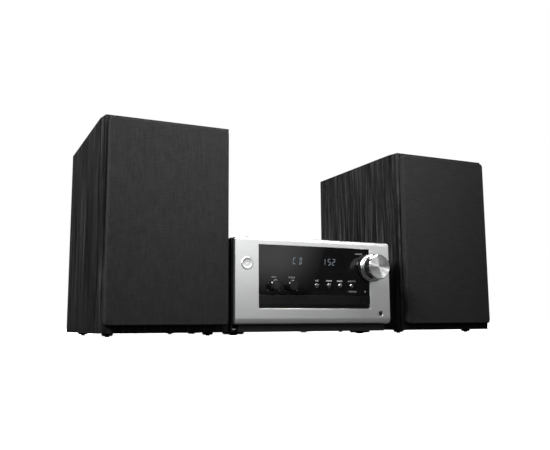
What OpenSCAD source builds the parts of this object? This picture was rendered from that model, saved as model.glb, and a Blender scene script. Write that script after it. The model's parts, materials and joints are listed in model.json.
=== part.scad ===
// Mini hi-fi system: a main unit with a disc tray and two bass-reflex speakers.
// +X is to the viewer's right, +Y runs from the fronts to the backs, +Z is up.
// The origin is on the table, under the middle of the whole set.

/* [Layout] */
// Gap between the left speaker and the main unit
left_gap = 2; // [2:1:150]
// Gap between the main unit and the right speaker
right_gap = 32; // [2:1:150]
// How far the left speaker's baffle stands behind the main unit's face
left_setback = 9.6; // [0:0.2:30]
// How far the right speaker's baffle stands behind the main unit's face
right_setback = 22.8; // [0:0.2:30]

/* [Main unit] */
// Width of the main unit
main_w = 210; // [208:1:216]
// Height of the main unit, feet included
main_h = 114.5; // [113:0.5:120]
// Depth of the main unit's casing
main_d = 240; // [238:1:260]
// Height of the feet
foot_h = 4; // [3.5:0.5:4]
// Height of the dark plinth under the fascia
plinth_h = 8.5; // [8:0.5:10]
// Diameter of the volume knob's ring
volume_d = 35; // [34:1:36]
// How far the volume knob stands out
volume_reach = 22.5; // [18:0.5:26]
// Travel of the disc tray
tray_travel = 134; // [100:1:134]

/* [Speaker] */
// Width of a speaker
spk_w = 150; // [148:1:160]
// Height of a speaker's cabinet without its feet
spk_h = 238; // [236:1:260]
// Depth of a speaker from baffle face to back
spk_d = 209; // [200:1:240]
// Wall thickness of the cabinet
wall = 10; // [8:1:12]
// How far the grille stands out in front of the baffle
grille_reach = 9.1; // [8.5:0.1:12]

/* [Hidden] */

fine = 96;
sheet = 1.2;
aerial_reach = 4.5;

// Places of the three units on the table
main_x = (left_gap - right_gap) / 2;
main_y = -(main_d + aerial_reach - volume_reach) / 2;
spk_x = (left_gap + right_gap + main_w + spk_w) / 2;
left_y = main_y + left_setback;
right_y = main_y + right_setback;

// Fascia
panel_z0 = foot_h + plinth_h;
panel_t = 2.5;
panel_d = 14;
panel_mid_z = (panel_z0 + main_h) / 2;
win_w = 151.8;
win_z0 = 31;
win_z1 = 105.4;
win_gap = 0.2;
win_recess = 0.6;
win_t = 3;
power_z = 82.9;
margin_x = (main_w + win_w) / 4;
volume_x = 76.3;
volume_z = 81.6;
tone_x = [-56.9, -34];
tone_z = 58;
key_x = [0.6, 17, 33.1, 49.6];
key_z = 58.6;
jack_x = 91.2;
jack_z = 25.2;
door_z0 = win_z0 + 0.4;
door_z1 = 47;
door_x0 = -win_w / 2 + 0.3;
door_x1 = 61.6;
main_foot_x = 89;
main_foot_y = [47, 205];
board_y = 16.5;
board_t = 1.6;

// Disc tray and its drive
tray_x = (door_x0 + door_x1) / 2;
tray_w = 128;
tray_z0 = 36.5;
tray_z1 = 45;
tray_y0 = win_recess + 3.8;
tray_y1 = 167.5;
disc_y = 72;
disc_r = 60.5;
gear_m = 1;
tray_teeth = 18;
drive_teeth = 28;
pinion_teeth = 14;
backlash = 0.16;
rack_x = tray_x - 56;
gear_x = rack_x + gear_m * tray_teeth / 2;
gear_y = 30;
motor_x = gear_x + gear_m * (drive_teeth + pinion_teeth) / 2;
loader_wall = 3;
loader_y0 = 19;
loader_y1 = 172.5;
rod_x = 18;
rod_z = 27;
rod_r = 1.5;

// Speaker
cab_z0 = foot_h;
cab_z1 = foot_h + spk_h;
cab_mid_z = (cab_z0 + cab_z1) / 2;
baffle_t = 17;
bevel_w = 3;
grille_side = 5.8;
grille_top = 4;
grille_low = 8.2;
cloth_t = 0.8;
grille_w = spk_w - 2 * grille_side;
grille_h = spk_h - grille_top - grille_low;
grille_z = cab_z0 + grille_low + grille_h / 2;
grille_gap = 1;
peg_x = 60;
peg_z = [24, 222];
woofer_z = 86;
tweeter_x = -14;
super_x = 46;
tweeter_z = 196;
port_z = 172;
port_r = 17;
cup_z = 62;
lead_r = 2.6;

// ---------- Shared shapes ----------

// Rounded rectangle in the plane, about its centre.
module round_rect(w, h, r) {
    square([w - 2 * r, h], center = true);
    square([w, h - 2 * r], center = true);
    for (sx = [-1, 1], sy = [-1, 1])
        translate([sx * (w / 2 - r), sy * (h / 2 - r)]) circle(r = r, $fn = 48);
}

// Stands a flat outline up in the XZ plane, from y = from, thick towards +Y.
module upright(from, thick) {
    translate([0, from + thick, 0]) rotate([90, 0, 0]) linear_extrude(thick) children();
}

// Turns an outline of (radius, y) about an axis along Y through x, z.
module turned(x, z) {
    translate([x, 0, z]) rotate([-90, 0, 0]) rotate_extrude($fn = fine) children();
}

// Round bar along Y.
module bar_y(x, z, y0, y1, r) {
    translate([x, y0, z]) rotate([-90, 0, 0]) cylinder(h = y1 - y0, r = r, $fn = fine);
}

// Round bar along Z.
module bar_z(x, y, z0, z1, r) {
    translate([x, y, z0]) cylinder(h = z1 - z0, r = r, $fn = fine);
}

// Box between two corners.
module block(low, high) {
    translate(low) cube(high - low);
}

// Ring of (radius, y) between two radii and two heights, for turned shapes.
module ring2d(r0, r1, y0, y1) {
    translate([r0, y0]) square([r1 - r0, y1 - y0]);
}

// Point on the involute of a base circle.
function involute(base, t) = base * [cos(t) + t * PI / 180 * sin(t), sin(t) - t * PI / 180 * cos(t)];
function turn(p, a) = [p[0] * cos(a) - p[1] * sin(a), p[0] * sin(a) + p[1] * cos(a)];

// Flat outline of a 20 degree involute gear with a tooth on +X.
module gear_outline(teeth) {
    pitch = gear_m * teeth / 2;
    base = pitch * cos(20);
    tip = pitch + gear_m * 0.9;
    root = pitch - gear_m * 1.2;
    half = 90 / teeth - backlash / 2 / pitch * 180 / PI / 2;
    at_pitch = tan(20) * 180 / PI - 20;
    steps = 5;
    t_max = sqrt(pow(tip / base, 2) - 1) * 180 / PI;
    flank = [for (i = [0 : steps]) turn(involute(base, t_max * i / steps), -half - at_pitch)];
    floor_r = min(root, base - 0.05);
    circle(r = floor_r, $fn = fine);
    for (k = [0 : teeth - 1])
        rotate(k * 360 / teeth)
            polygon(concat([[0, 0]], flank, [for (i = [steps : -1 : 0]) [flank[i][0], -flank[i][1]]]));
}

module in_main() {
    translate([main_x, main_y, 0]) children();
}

module in_speaker(side) {
    translate([side * spk_x, side < 0 ? left_y : right_y, 0]) children();
}

// ---------- Main unit: casing ----------

module bottom_chassis() {
    w = main_w / 2 - 1.6;
    color("dimgray") in_main() difference() {
        union() {
            block([-w, 16, foot_h], [w, main_d - 2.2, foot_h + sheet]);
            for (s = [-1, 1])
                translate([s * (w - sheet / 2) - sheet / 2, 16, foot_h])
                    cube([sheet, main_d - 18.2, 9]);
            for (s = [-1, 1], y = [50, 226]) bar_z(s * 98.5, y, foot_h, 58, 2.8);
        }
        for (row = [0 : 2], i = [0 : 8])
            block([-64 + i * 14, 178 + row * 18, foot_h - 1], [-56 + i * 14, 181 + row * 18, foot_h + 2]);
        for (s = [-1, 1], y = main_foot_y) bar_z(s * main_foot_x, y, foot_h - 1, foot_h + 2, 1.6);
    }
}

module top_cover() {
    in_w = main_w - 2 * sheet;
    y0 = panel_d + 0.2;
    y1 = main_d - 1;
    color("black") in_main() difference() {
        union() {
            difference() {
                translate([0, 0, main_h / 2 + 2]) upright(y0, y1 - y0) round_rect(main_w, main_h - 4, 3);
                translate([0, 0, main_h / 2 + 2 - sheet]) upright(y0 - 1, y1 - y0 + 2)
                    round_rect(in_w, main_h - 4, 3 - sheet);
                block([-main_w, y0 - 1, 0], [main_w, y1 + 1, 4.2]);
            }
            // Folded lip that the rear panel screws to
            difference() {
                block([-in_w / 2 - 0.1, y1 - 2.6, 13.4], [in_w / 2 + 0.1, y1 - 1.4, main_h - sheet + 0.1]);
                block([-in_w / 2 + 9, y1 - 3, 13], [in_w / 2 - 9, y1, main_h - 11]);
            }
        }
        for (s = [-1, 1], i = [0 : 9])
            translate([s * main_w / 2 - 3, 150 + i * 7, 60]) cube([6, 3, 36]);
        for (i = [0 : 15], row = [0, 1])
            translate([-79 + i * 10, 150 + row * 40, main_h - 3]) cube([4, 32, 6]);
        for (p = screw_places()) bar_y(p[0], p[1], y1 - 4, y1 + 1, 1.6);
    }
}

// Where the rear panel's screws go, as x, z.
function screw_places() = [
    [-99.4, 104], [99.4, 104], [0, 106.5], [-99.4, 44], [99.4, 44], [-99.4, 22], [99.4, 22]
];

module rear_panel() {
    y0 = main_d - 2;
    color("darkslategray") in_main() difference() {
        block([-main_w / 2 + sheet + 0.2, y0, foot_h + sheet + 0.2],
              [main_w / 2 - sheet - 0.2, y0 + sheet, main_h - sheet - 0.2]);
        block([-92.3, y0 - 1, 59.3], [-43.7, y0 + 3, 80.3]);
        block([-30.3, y0 - 1, 59.3], [36.3, y0 + 3, 80.3]);
        block([71.7, y0 - 1, 14.7], [94.3, y0 + 3, 31.3]);
        for (i = [0 : 11], z = [86, 94])
            block([-66 + i * 11, y0 - 1, z], [-59 + i * 11, y0 + 3, z + 3]);
        for (i = [0 : 8])
            block([-66 + i * 13, y0 - 1, 40], [-58 + i * 13, y0 + 3, 43]);
        for (p = screw_places()) bar_y(p[0], p[1], y0 - 1, y0 + 3, 1.6);
    }
}

// Side view of the fascia: rounded over at the top and, more softly, at the bottom.
module panel_side() {
    top_r = 4.5;
    low_r = 7;
    square_h = main_h - panel_z0;
    difference() {
        translate([0, panel_z0]) square([panel_d, square_h]);
        translate([0, main_h - top_r]) difference() {
            translate([-1, 0]) square([top_r + 1, top_r + 1]);
            translate([top_r, 0]) circle(r = top_r, $fn = fine);
        }
        translate([0, panel_z0 - 1]) difference() {
            translate([-1, 0]) square([low_r + 1, low_r + 1]);
            translate([low_r, low_r + 1]) circle(r = low_r, $fn = fine);
        }
    }
}

module front_panel() {
    lobe_r = 8;
    color("silver") in_main() difference() {
        union() {
            difference() {
                intersection() {
                    translate([-main_w / 2, 0, 0]) rotate([90, 0, 90]) linear_extrude(main_w) panel_side();
                    translate([0, 0, panel_mid_z]) upright(-1, panel_d + 2)
                        round_rect(main_w, main_h - panel_z0, 3);
                }
                block([-main_w / 2 + panel_t, panel_t, panel_z0 + panel_t],
                      [main_w / 2 - panel_t, panel_d + 1, main_h - panel_t]);
                // Room under the fascia for the frame's plinth
                block([-99.5, 5.2, panel_z0 - 1], [99.5, panel_d + 1, panel_z0 + panel_t + 1]);
                translate([0, 0, (win_z0 + win_z1) / 2]) upright(-1, panel_t + 2)
                    round_rect(win_w, win_z1 - win_z0, 1.2);
            }
            intersection() {
                bar_y(volume_x, volume_z, 0, panel_t, lobe_r);
                block([0, -1, win_z0], [win_w / 2 + 1, panel_t + 1, win_z1]);
            }
        }
        bar_y(volume_x, volume_z, -1, panel_t + 1, 3.8);
        bar_y(-margin_x, power_z, -1, panel_t + 1, 7.6);
        bar_y(jack_x, jack_z, -1, panel_t + 1, 3.3);
    }
}

module front_frame() {
    color("black") in_main() difference() {
        union() {
            // Plinth that shows under the fascia
            block([-98.8, 5.4, foot_h], [98.8, 15.8, panel_z0 + 1]);
            // Upright frame inside the fascia
            block([-101, 10, panel_z0 + 1], [101, 12, main_h - 4]);
            for (x = [-84, 80]) block([x, panel_t, 98], [x + 4, 10.5, 106]);
            for (x = [-84, 80]) block([x, panel_t, 40], [x + 4, 10.5, 46]);
        }
        difference() {
            block([-74, 9, 26], [80, 13, 104]);
            block([-75, 8, 48.2], [81, 14, 50]);
        }
        block([83.8, 9, 19], [97.8, 13, 33.6]);
        bar_y(volume_x, volume_z, 9, 13, 10.5);
        bar_y(-margin_x, power_z, 9, 13, 4);
        block([-90, 8, foot_h - 1], [90, 14.2, foot_h + 6]);
    }
    // Ledges that the window is fixed to, above and below
    color("black") in_main() {
        block([-73, win_recess + win_t, 103.2], [66, 10.5, 104.8]);
        block([-73, win_recess + win_t, 48.2], [73, 10.5, 50]);
    }
}

module display_window() {
    color([0.03, 0.03, 0.035]) in_main() difference() {
        block([-win_w / 2 + win_gap, win_recess, door_z1 + 0.6],
              [win_w / 2 - win_gap, win_recess + win_t, win_z1 - win_gap]);
        bar_y(volume_x, volume_z, win_recess - 1, win_recess + win_t + 1, 8.3);
        for (x = tone_x) bar_y(x, tone_z, win_recess - 1, win_recess + win_t + 1, 3.5);
        for (x = key_x) bar_y(x, key_z, win_recess - 1, win_recess + win_t + 1, 3.2);
    }
}

module display_module() {
    color("darkslategray") in_main() {
        difference() {
            block([-52, 5.2, 70], [48, 14, 101]);
            block([-48, 4.2, 73], [44, 7.2, 98]);
        }
        color("black") block([-47.5, 5.6, 73.5], [43.5, 7.2, 97.5]);
        for (i = [0 : 15])
            color("silver") block([-46.3 + i * 6, 14, 72], [-45.7 + i * 6, board_y, 72.6]);
    }
}

module main_feet() {
    color("black") in_main()
        for (s = [-1, 1], y = main_foot_y)
            translate([s * main_foot_x, y, 0]) rotate_extrude($fn = fine) difference() {
                union() {
                    square([4.5, foot_h]);
                    translate([0, 1.3]) square([12, foot_h - 1.3]);
                    translate([0, 2.3]) square([13, foot_h - 2.3]);
                }
                translate([-5, -1]) square([5, foot_h + 2]);
            }
}

module case_screws() {
    y0 = main_d - 2 + sheet;
    color("gray") in_main()
        for (p = screw_places()) difference() {
            union() {
                bar_y(p[0], p[1], y0, y0 + 1.8, 3);
                bar_y(p[0], p[1], y0 - 5, y0, 1.5);
            }
            for (a = [0, 90])
                translate([p[0], y0 + 1.8, p[1]]) rotate([0, a, 0])
                    cube([3.4, 1.6, 0.7], center = true);
        }
}

// ---------- Main unit: controls ----------

module front_board() {
    key_places = concat([for (x = key_x) [x, key_z, 14.3]],
                        [[-margin_x, power_z, 14.4], [68.9, 40, 14.4]]);
    color("darkgreen") in_main() {
        difference() {
            union() {
                block([-99, board_y, 49], [99, board_y + board_t, 109]);
                block([64.5, board_y, 18], [99, board_y + board_t, 49.5]);
            }
            for (s = [-1, 1], z = [55, 104]) bar_y(s * 95, z, board_y - 1, board_y + 3, 1.6);
        }
        for (p = key_places)
            color("lightgray") block([p[0] - 3, p[2], p[1] - 3], [p[0] + 3, board_y, p[1] + 3]);
        for (i = [0 : 4])
            color("black")
                block([-80 + i * 30, board_y + board_t, 84], [-68 + i * 30, board_y + board_t + 2, 94]);
        color("white") block([-20, board_y + board_t, 54], [12, board_y + board_t + 5, 59]);
    }
}

module headphone_jack() {
    color([0.1, 0.1, 0.1]) in_main() difference() {
        union() {
            bar_y(jack_x, jack_z, 0.2, 4, 3.1);
            block([jack_x - 6, 3, jack_z - 6], [jack_x + 6, board_y, jack_z + 6]);
        }
        bar_y(jack_x, jack_z, -1, 15.2, 1.8);
    }
}

// Round push key: a domed cap, a flange behind the window and a stem to its switch.
module key_shape(x) {
    turned(x, key_z) polygon([
        [0, -1.5], [1.6, -1.4], [2.5, -1.0], [2.95, -0.4], [2.95, 3.7],
        [4.2, 3.7], [4.2, 4.7], [1.5, 4.7], [1.5, 13.4], [0, 13.4]
    ]);
}

module play_button() color([0.05, 0.05, 0.05]) in_main() key_shape(key_x[0]);
module skip_back_button() color([0.05, 0.05, 0.05]) in_main() key_shape(key_x[1]);
module skip_forward_button() color([0.05, 0.05, 0.05]) in_main() key_shape(key_x[2]);
module selector_button() color([0.05, 0.05, 0.05]) in_main() key_shape(key_x[3]);

module power_button() {
    color("gainsboro") in_main() turned(-margin_x, power_z) polygon([
        [0, -0.5], [4, -0.6], [6.4, -0.9], [7.0, -0.8], [7.3, -0.4], [7.3, 2.6],
        [9, 2.6], [9, 3.6], [2.5, 3.6], [2.5, 13.2], [0, 13.2]
    ]);
}

module eject_button() {
    x0 = door_x1 + 0.8;
    x1 = win_w / 2 - 0.3;
    color([0.05, 0.05, 0.05]) in_main() difference() {
        union() {
            block([x0, 0.2, door_z0 + 4.8], [x1, 4, door_z1]);
            block([x0, 2.6, door_z0], [x1, 4, door_z0 + 5]);
            bar_y(68.9, 40, 3.9, 13.2, 2);
        }
        for (i = [0 : 4])
            block([x0 + 1.9 + i * 2, -0.5, door_z0 + 6], [x0 + 2.9 + i * 2, 0.7, door_z1 - 1.2]);
    }
}

module volume_encoder() {
    color("gray") in_main() difference() {
        union() {
            block([volume_x - 6.5, 8, volume_z - 6.5], [volume_x + 6.5, board_y, volume_z + 6.5]);
            bar_y(volume_x, volume_z, -3.5, 8.5, 3.5);
            translate([volume_x, -0.05, volume_z]) rotate([90, 0, 0]) cylinder(h = 2, r = 5.4, $fn = 6);
        }
        bar_y(volume_x, volume_z, -4, 15, 3.05);
    }
}

module tone_controls() {
    color("gray") in_main()
        for (x = tone_x) difference() {
            union() {
                block([x - 6, 8.5, tone_z - 6], [x + 6, board_y, tone_z + 6]);
                bar_y(x, tone_z, 4.2, 9, 3.4);
            }
            bar_y(x, tone_z, 4, 15, 2.65);
        }
}

// Volume knob: skirt, ring, groove, slightly tapered body and a dished front face.
module volume_knob() {
    r = volume_d / 2;
    reach = volume_reach;
    color("silver") in_main() turned(volume_x, volume_z) polygon([
        [0, -reach + 0.45], [9, -reach + 0.35], [14.2, -reach], [14.8, -reach + 0.35],
        [15.2, -reach + 1.2], [15.7, -11], [16.4, -10.6], [16.4, -8.7], [15.6, -8.4],
        [15.6, -7.5], [r - 0.6, -7.3], [r, -6.7], [r, -1.4], [r - 0.6, -0.8],
        [12.2, -0.8], [12.2, -14], [5, -14], [5, -5], [3, -5], [3, 14], [0, 14]
    ]);
}

// Small tone knob with its shaft.
module tone_knob_shape(x) {
    difference() {
        turned(x, tone_z) polygon([
            [0, -8.4], [5.2, -8.4], [6.0, -8.0], [6.3, -7.4], [6.8, -0.4], [6.6, 0.2],
            [2.6, 0.2], [2.6, 14], [0, 14]
        ]);
        // Pointer groove
        block([x - 0.4, -9, tone_z + 2], [x + 0.4, -8, tone_z + 7]);
    }
}

module bass_knob() color([0.06, 0.06, 0.06]) in_main() tone_knob_shape(tone_x[0]);
module treble_knob() color([0.06, 0.06, 0.06]) in_main() tone_knob_shape(tone_x[1]);

// ---------- Main unit: disc drive ----------

module tray_door() {
    color([0.04, 0.04, 0.04]) in_main() difference() {
        translate([door_x0, 0, 0]) rotate([90, 0, 90]) linear_extrude(door_x1 - door_x0) polygon([
            [win_recess + 0.5, door_z1], [tray_y0, door_z1], [tray_y0, door_z0],
            [win_recess + 2.2, door_z0], [win_recess + 2.2, door_z0 + 4.8],
            [win_recess, door_z0 + 4.8], [win_recess, door_z1 - 0.5]
        ]);
        translate([door_x0 - 1, tray_y0 - 0.8, door_z0 + 2]) cube([2, 2, 2]);
    }
}

// Straight rack with a space at y = gear_y, its teeth towards +X.
module rack_outline() {
    pitch = PI * gear_m;
    half = pitch / 4 - backlash / 4;
    slope = tan(20);
    first = -6;
    last = ceil(tray_travel / pitch);
    translate([rack_x - 4.5, gear_y + first * pitch]) square([3.35, (last - first) * pitch]);
    for (k = [first : last - 1])
        translate([rack_x, gear_y + (k + 0.5) * pitch]) polygon([
            [-1.2, -half - 1.2 * slope], [0.9, -half + 0.9 * slope],
            [0.9, half - 0.9 * slope], [-1.2, half + 1.2 * slope]
        ]);
}

module cd_tray() {
    x0 = tray_x - tray_w / 2;
    x1 = tray_x + tray_w / 2;
    color([0.08, 0.08, 0.08]) in_main() difference() {
        union() {
            block([x0, tray_y0, tray_z0], [x1, tray_y1, tray_z1]);
            translate([0, 0, tray_z0 - 3.8]) linear_extrude(4.2) rack_outline();
        }
        bar_z(tray_x, disc_y, tray_z1 - 5.5, tray_z1 + 1, disc_r);
        bar_z(tray_x, disc_y, tray_z1 - 6.5, tray_z1, 40.5);
        block([tray_x - 20, disc_y - 16, tray_z0 - 1], [tray_x + 20, disc_y + 66, tray_z1]);
        for (s = [-1, 1]) bar_z(tray_x + s * 60, disc_y, tray_z1 - 4, tray_z1 + 1, 14);
    }
}

module cd_loader_frame() {
    half = tray_w / 2 + 0.6;
    outer = half + loader_wall;
    color("dimgray") in_main() {
        difference() {
            union() {
                block([tray_x - outer, loader_y0, 8], [tray_x + outer, loader_y1, 10]);
                for (s = [-1, 1]) {
                    translate([tray_x + s * (half + loader_wall / 2) - loader_wall / 2, loader_y0, 8])
                        cube([loader_wall, loader_y1 - loader_y0, 39.3]);
                    // Rails under and over the tray's edges
                    translate([tray_x + s * (half - 1.7) - 2, loader_y0, tray_z0 - 2.8])
                        cube([4, loader_y1 - loader_y0, 2.5]);
                    translate([tray_x + s * (half - 1.7) - 2, loader_y0 + 8, tray_z1 + 0.3])
                        cube([4, 90, 2]);
                }
                block([tray_x - outer, loader_y1 - 2.4, 8], [tray_x + outer, loader_y1, 47.3]);
                // Bridge that holds the clamper
                block([tray_x - outer, disc_y - 16, 47.3], [tray_x + outer, disc_y + 16, 49.3]);
                for (sx = [-1, 1], y = [64, 146]) bar_z(tray_x + sx * 26, y, 9, 20, 3);
                for (sx = [-1, 1], y = [25, 160]) bar_z(tray_x + sx * 58, y, foot_h + sheet, 9, 4);
                bar_z(gear_x, gear_y, 9, 36, 1.5);
                bar_z(gear_x, gear_y, 9, 24, 3);
            }
            bar_z(tray_x, disc_y, 40, 60, 9);
            bar_z(tray_x, disc_y, 7, 11, 14);
            block([tray_x - 20, 92, 7], [tray_x + 20, 150, 11]);
            for (s = [-1, 1]) block([tray_x + s * 46 - 12, 60, 7], [tray_x + s * 46 + 12, 140, 11]);
        }
    }
}

module traverse_frame() {
    color("gray") in_main() {
        difference() {
            union() {
                block([tray_x - 30, 56, 20], [tray_x + 30, 154, 22]);
                for (s = [-1, 1], y = [83.5, 149.5])
                    block([tray_x + s * rod_x - 3.5, y, 21], [tray_x + s * rod_x + 3.5, y + 3.5, 31]);
                // Spindle motor under the plate
                bar_z(tray_x, disc_y, 11, 20.5, 12);
            }
            for (s = [-1, 1]) bar_y(tray_x + s * rod_x, rod_z, 82, 155, rod_r);
            bar_z(tray_x, disc_y, 12.5, 24, 1.5);
            block([tray_x - 14, 92, 19], [tray_x + 14, 146, 23]);
        }
        for (s = [-1, 1])
            color("silver") bar_y(tray_x + s * rod_x, rod_z, 83.5, 153, rod_r);
    }
}

module loading_motor() {
    color("silver") in_main() difference() {
        union() {
            bar_z(motor_x, gear_y, 10, 23.5, 9.5);
            bar_z(motor_x, gear_y, 23.5, 24.3, 3);
        }
        bar_z(motor_x, gear_y, 14, 25, 1.1);
    }
}

module motor_pinion() {
    color("white") in_main() union() {
        translate([motor_x, gear_y, 25]) linear_extrude(4.2)
            rotate(180 / pinion_teeth) gear_outline(pinion_teeth);
        bar_z(motor_x, gear_y, 14.5, 26, 1);
    }
}

module tray_gear() {
    color("white") in_main() difference() {
        union() {
            translate([gear_x, gear_y, 25.5]) linear_extrude(3) gear_outline(drive_teeth);
            bar_z(gear_x, gear_y, 24.2, 33, 5);
            translate([gear_x, gear_y, 32.5]) linear_extrude(3.7) gear_outline(tray_teeth);
        }
        bar_z(gear_x, gear_y, 24, 37, 1.56);
    }
}

module turntable() {
    color("black") in_main() translate([tray_x, disc_y, 0]) rotate_extrude($fn = fine) polygon([
        [0, 13], [1.4, 13], [1.4, 30], [14, 30], [14, 32], [7.4, 32], [7.2, 33], [6, 35.2], [0, 35.8]
    ]);
}

module laser_pickup() {
    color("darkslategray") in_main() difference() {
        union() {
            block([tray_x - 24, 90, 23.4], [tray_x + 24, 114, 30.6]);
            bar_z(tray_x, 97, 30, 32.2, 4);
            bar_z(tray_x, 97, 32, 33.4, 2.6);
        }
        for (s = [-1, 1]) bar_y(tray_x + s * rod_x, rod_z, 88, 116, rod_r + 0.06);
    }
}

module disc_clamper() {
    color("white") in_main() translate([tray_x, disc_y, 0]) rotate_extrude($fn = fine) polygon([
        [0, 46.4], [7.6, 46.4], [7.6, 45.5], [14, 45.5], [14, 46.9], [8.6, 46.9],
        [8.6, 49.4], [12, 49.4], [12, 50.8], [0, 50.8]
    ]);
}

// ---------- Main unit: electronics ----------

module main_board() {
    color("darkgreen") in_main() {
        difference() {
            block([-101, 36, 58], [101, 232, 59.6]);
            for (s = [-1, 1], y = [50, 226]) bar_z(s * 98.5, y, 57, 61, 1.6);
        }
        color("black") for (p = [[-60, 80, 20], [-20, 110, 16], [-62, 140, 12], [24, 84, 14]])
            block([p[0], p[1], 59.6], [p[0] + p[2], p[1] + p[2], 62]);
        color("navy") for (i = [0 : 4]) bar_z(20 + i * 16, 150, 59.6, 76, 5.5);
        color("silver") block([-86, 172, 59.6], [-52, 204, 66]);
        color("white") for (i = [0 : 2]) block([-80 + i * 40, 44, 59.6], [-56 + i * 40, 50, 65]);
    }
}

module power_board() {
    color("tan") in_main() {
        difference() {
            block([66, 56, 11], [94, 230, 12.6]);
            for (y = [62, 224]) bar_z(90, y, 10, 13, 1.6);
        }
        for (y = [62, 224])
            color("gray") difference() {
                bar_z(90, y, foot_h + sheet, 11, 3);
                bar_z(90, y, foot_h, 12, 1.5);
            }
        color("gold") block([68, 104, 12.6], [92, 134, 38]);
        color("black") block([66.6, 109, 14.6], [93.4, 129, 36]);
        color("navy") for (y = [150, 172]) bar_z(80, y, 12.6, 44, 8.5);
        color("navy") for (y = [70, 88]) bar_z(76, y, 12.6, 30, 5);
        color("silver") block([70, 188, 12.6], [90, 206, 30]);
    }
}

module heatsink() {
    color("silver") in_main() union() {
        block([46, 182, 59.6], [96, 186, 104]);
        for (i = [0 : 8]) block([46 + i * 6, 185.5, 59.6], [48 + i * 6, 226, 104]);
    }
}

module ac_inlet() {
    color([0.07, 0.07, 0.07]) in_main() difference() {
        union() {
            block([72, 218, 15], [94, main_d + 0.5, 31]);
            block([70, main_d - 0.8, 13], [96, main_d + 0.8, 33]);
        }
        for (s = [-1, 1]) bar_y(83 + s * 4.2, 23, main_d - 14, main_d + 2, 4.4);
        block([78.8, main_d - 14, 18.6], [87.2, main_d + 2, 27.4]);
    }
    color("silver") in_main() for (s = [-1, 1]) bar_y(83 + s * 4.2, 23, main_d - 14, main_d - 3, 1.3);
}

module input_sockets() {
    color([0.1, 0.1, 0.1]) in_main() difference() {
        union() {
            block([-30, 222, 59.6], [36, main_d + 0.5, 80]);
            bar_y(25, 70, main_d, main_d + aerial_reach, 4.7);
            bar_y(-20, 70, main_d, main_d + 1.5, 4);
        }
        bar_y(-20, 70, main_d - 14, main_d + 2, 1.8);
        bar_y(25, 70, main_d - 6, main_d + 5, 1.2);
        block([-3.6, main_d - 9, 66.4], [5.6, main_d + 2, 74.4]);
    }
}

module speaker_sockets() {
    color("ghostwhite") in_main() difference() {
        block([-92, 222, 59.6], [-44, main_d + 0.5, 80]);
        for (x = [-80, -56]) {
            block([x - 8, main_d - 10, 64], [x + 8, main_d + 2, 76]);
        }
    }
    color("silver") in_main()
        for (x = [-80, -56], dx = [-3.5, 3.5]) bar_y(x + dx, 70, main_d - 10, main_d - 2, 1.2);
}

// ---------- Speaker ----------

module cabinet(side) {
    color([0.12, 0.12, 0.12]) in_speaker(side) difference() {
        block([-spk_w / 2, baffle_t, cab_z0], [spk_w / 2, spk_d, cab_z1]);
        block([-spk_w / 2 + wall, baffle_t - 1, cab_z0 + wall],
              [spk_w / 2 - wall, spk_d - wall, cab_z1 - wall]);
        bar_y(0, port_z, spk_d - wall - 1, spk_d + 1, port_r + 2.2);
        block([-26, spk_d - wall - 1, cup_z - 20], [26, spk_d + 1, cup_z + 20]);
    }
}

module baffle(side) {
    seat = 3.2;
    color([0.13, 0.13, 0.13]) in_speaker(side) difference() {
        union() {
            translate([0, 0, cab_z0]) linear_extrude(spk_h) polygon([
                [-spk_w / 2 + bevel_w, 0], [spk_w / 2 - bevel_w, 0],
                [spk_w / 2, baffle_t], [-spk_w / 2, baffle_t]
            ]);
            // Tongue that locates the baffle inside the cabinet
            block([-spk_w / 2 + wall + 0.2, baffle_t - 1, cab_z0 + wall + 0.2],
                  [spk_w / 2 - wall - 0.2, baffle_t + 5, cab_z1 - wall - 0.2]);
        }
        bar_y(0, woofer_z, -1, seat, 65.4);
        bar_y(0, woofer_z, -1, baffle_t + 6, 56.5);
        bar_y(tweeter_x, tweeter_z, -1, seat, 34.4);
        bar_y(tweeter_x, tweeter_z, -1, baffle_t + 6, 26);
        bar_y(super_x, tweeter_z, -1, seat, 16.4);
        bar_y(super_x, tweeter_z, -1, baffle_t + 6, 12.6);
        for (sx = [-1, 1], z = peg_z) bar_y(sx * peg_x, z, -1, 11, 4);
    }
}

module grille_frame(side) {
    w = grille_w - 2 * cloth_t;
    h = grille_h - 2 * cloth_t;
    rail = 10;
    back = -grille_gap;
    front = -grille_reach + cloth_t;
    color([0.1, 0.1, 0.1]) in_speaker(side) {
        union() {
            difference() {
                translate([0, 0, grille_z]) upright(front, back - front) round_rect(w, h, 4);
                translate([0, 0, grille_z]) upright(front - 1, back - front + 2)
                    round_rect(w - 2 * rail, h - 2 * rail, 6);
            }
            // Cross rib between the woofer and the tweeters
            block([-w / 2 + rail - 1, front + 2, 156], [w / 2 - rail + 1, back, 160]);
            for (sx = [-1, 1], z = peg_z) bar_y(sx * peg_x, z, back - 1, 9.5, 3.94);
        }
    }
}

module grille_cloth(side) {
    front = -grille_reach;
    back = -grille_gap;
    color([0.15, 0.15, 0.15]) in_speaker(side) difference() {
        translate([0, 0, grille_z]) upright(front, back - front) round_rect(grille_w, grille_h, 4.8);
        translate([0, 0, grille_z]) upright(front + cloth_t, back - front)
            round_rect(grille_w - 2 * cloth_t, grille_h - 2 * cloth_t, 4);
    }
}

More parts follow.
